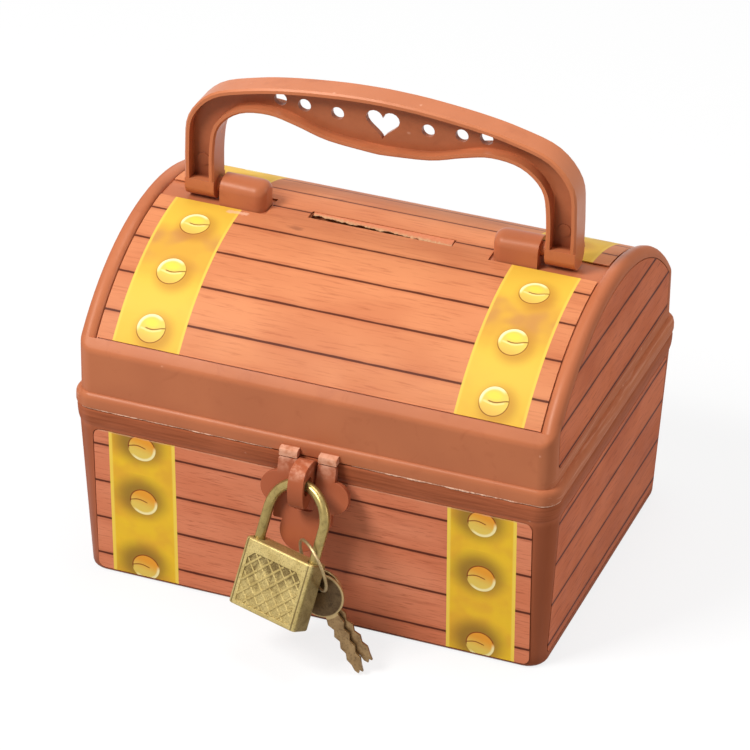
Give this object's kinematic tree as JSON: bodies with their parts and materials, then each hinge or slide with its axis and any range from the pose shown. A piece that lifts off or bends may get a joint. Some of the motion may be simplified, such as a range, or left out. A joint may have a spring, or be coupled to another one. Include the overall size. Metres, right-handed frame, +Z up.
{
  "type": "treasure chest money box",
  "caption": "Small domed-lid chest money box with a coin slot, folding carry handle, front hasp and a padlock with two keys.",
  "frame": {"origin": "centre of the underside of the base", "axes": "+X to the right along the long side seen from the front, -Y out of the padlock side, +Z up"},
  "size_m": [0.14, 0.1382, 0.137],
  "materials": {
    "brown_plastic": "satin moulded plastic",
    "plank_print": "printed film with planks and straps",
    "brass": "worn satin brass",
    "steel": "plain wire"
  },
  "bodies": {
    "base": {"base_tub": "brown_plastic", "label_front": "plank_print", "label_back": "plank_print", "label_left": "plank_print", "label_right": "plank_print", "hinge_pin_left": "steel", "hinge_pin_right": "steel"},
    "lid": {"lid_shell": "brown_plastic", "label_lid_left": "plank_print", "label_lid_right": "plank_print", "label_dome": "plank_print"},
    "handle": {"handle": "brown_plastic"},
    "hasp": {"hasp": "brown_plastic"},
    "shackle": {"padlock_shackle": "brass"},
    "case": {"padlock_case": "brass"},
    "plug": {"padlock_plug": "brass"},
    "ring": {"key_ring": "steel"},
    "first_key": {"key_front": "brass"},
    "second_key": {"key_back": "brass"}
  },
  "joints": [
    {"name": "lid_hinge", "type": "hinge", "parent": "base", "child": "lid", "pos_m": [0, 0.05524, 0.05335], "axis": [-1, 0, 0], "range_deg": [0, 105]},
    {"name": "handle_swing", "type": "hinge", "parent": "lid", "child": "handle", "pos_m": [0, 0, 0.1001], "axis": [1, 0, 0], "range_deg": [-88, 88]},
    {"name": "hasp_swing", "type": "hinge", "parent": "lid", "child": "hasp", "pos_m": [0.0008, -0.05432, 0.05319], "axis": [1, 0, 0], "range_deg": [0, 12]},
    {"name": "padlock_hang", "type": "hinge", "parent": "base", "child": "shackle", "pos_m": [0.00234, -0.06029, 0.04943], "axis": [-0.9494, 0.314, 0], "range_deg": [0, 60]},
    {"name": "padlock_pull", "type": "slide", "parent": "shackle", "child": "case", "axis": [-0.1287, -0.3892, -0.9121], "range_m": [0, 0.0055]},
    {"name": "plug_turn", "type": "hinge", "parent": "case", "child": "plug", "pos_m": [-0.00126, -0.07117, 0.02394], "axis": [0.1287, 0.3892, 0.9121], "range_deg": [0, 90]},
    {"name": "ring_slip", "type": "hinge", "parent": "shackle", "child": "ring", "pos_m": [0.00806, -0.06866, 0.03046], "axis": [0.661, 0.7192, 0.2138], "range_deg": [-30, 2]},
    {"name": "first_key_swing", "type": "hinge", "parent": "ring", "child": "first_key", "pos_m": [0.00877, -0.06716, 0.02323], "axis": [-0.0253, 0.9876, -0.1551], "range_deg": [-60, 1.5]},
    {"name": "second_key_swing", "type": "hinge", "parent": "ring", "child": "second_key", "pos_m": [0.00723, -0.06586, 0.02364], "axis": [-0.0253, 0.9876, -0.1551], "range_deg": [-60, 8]}
  ]
}
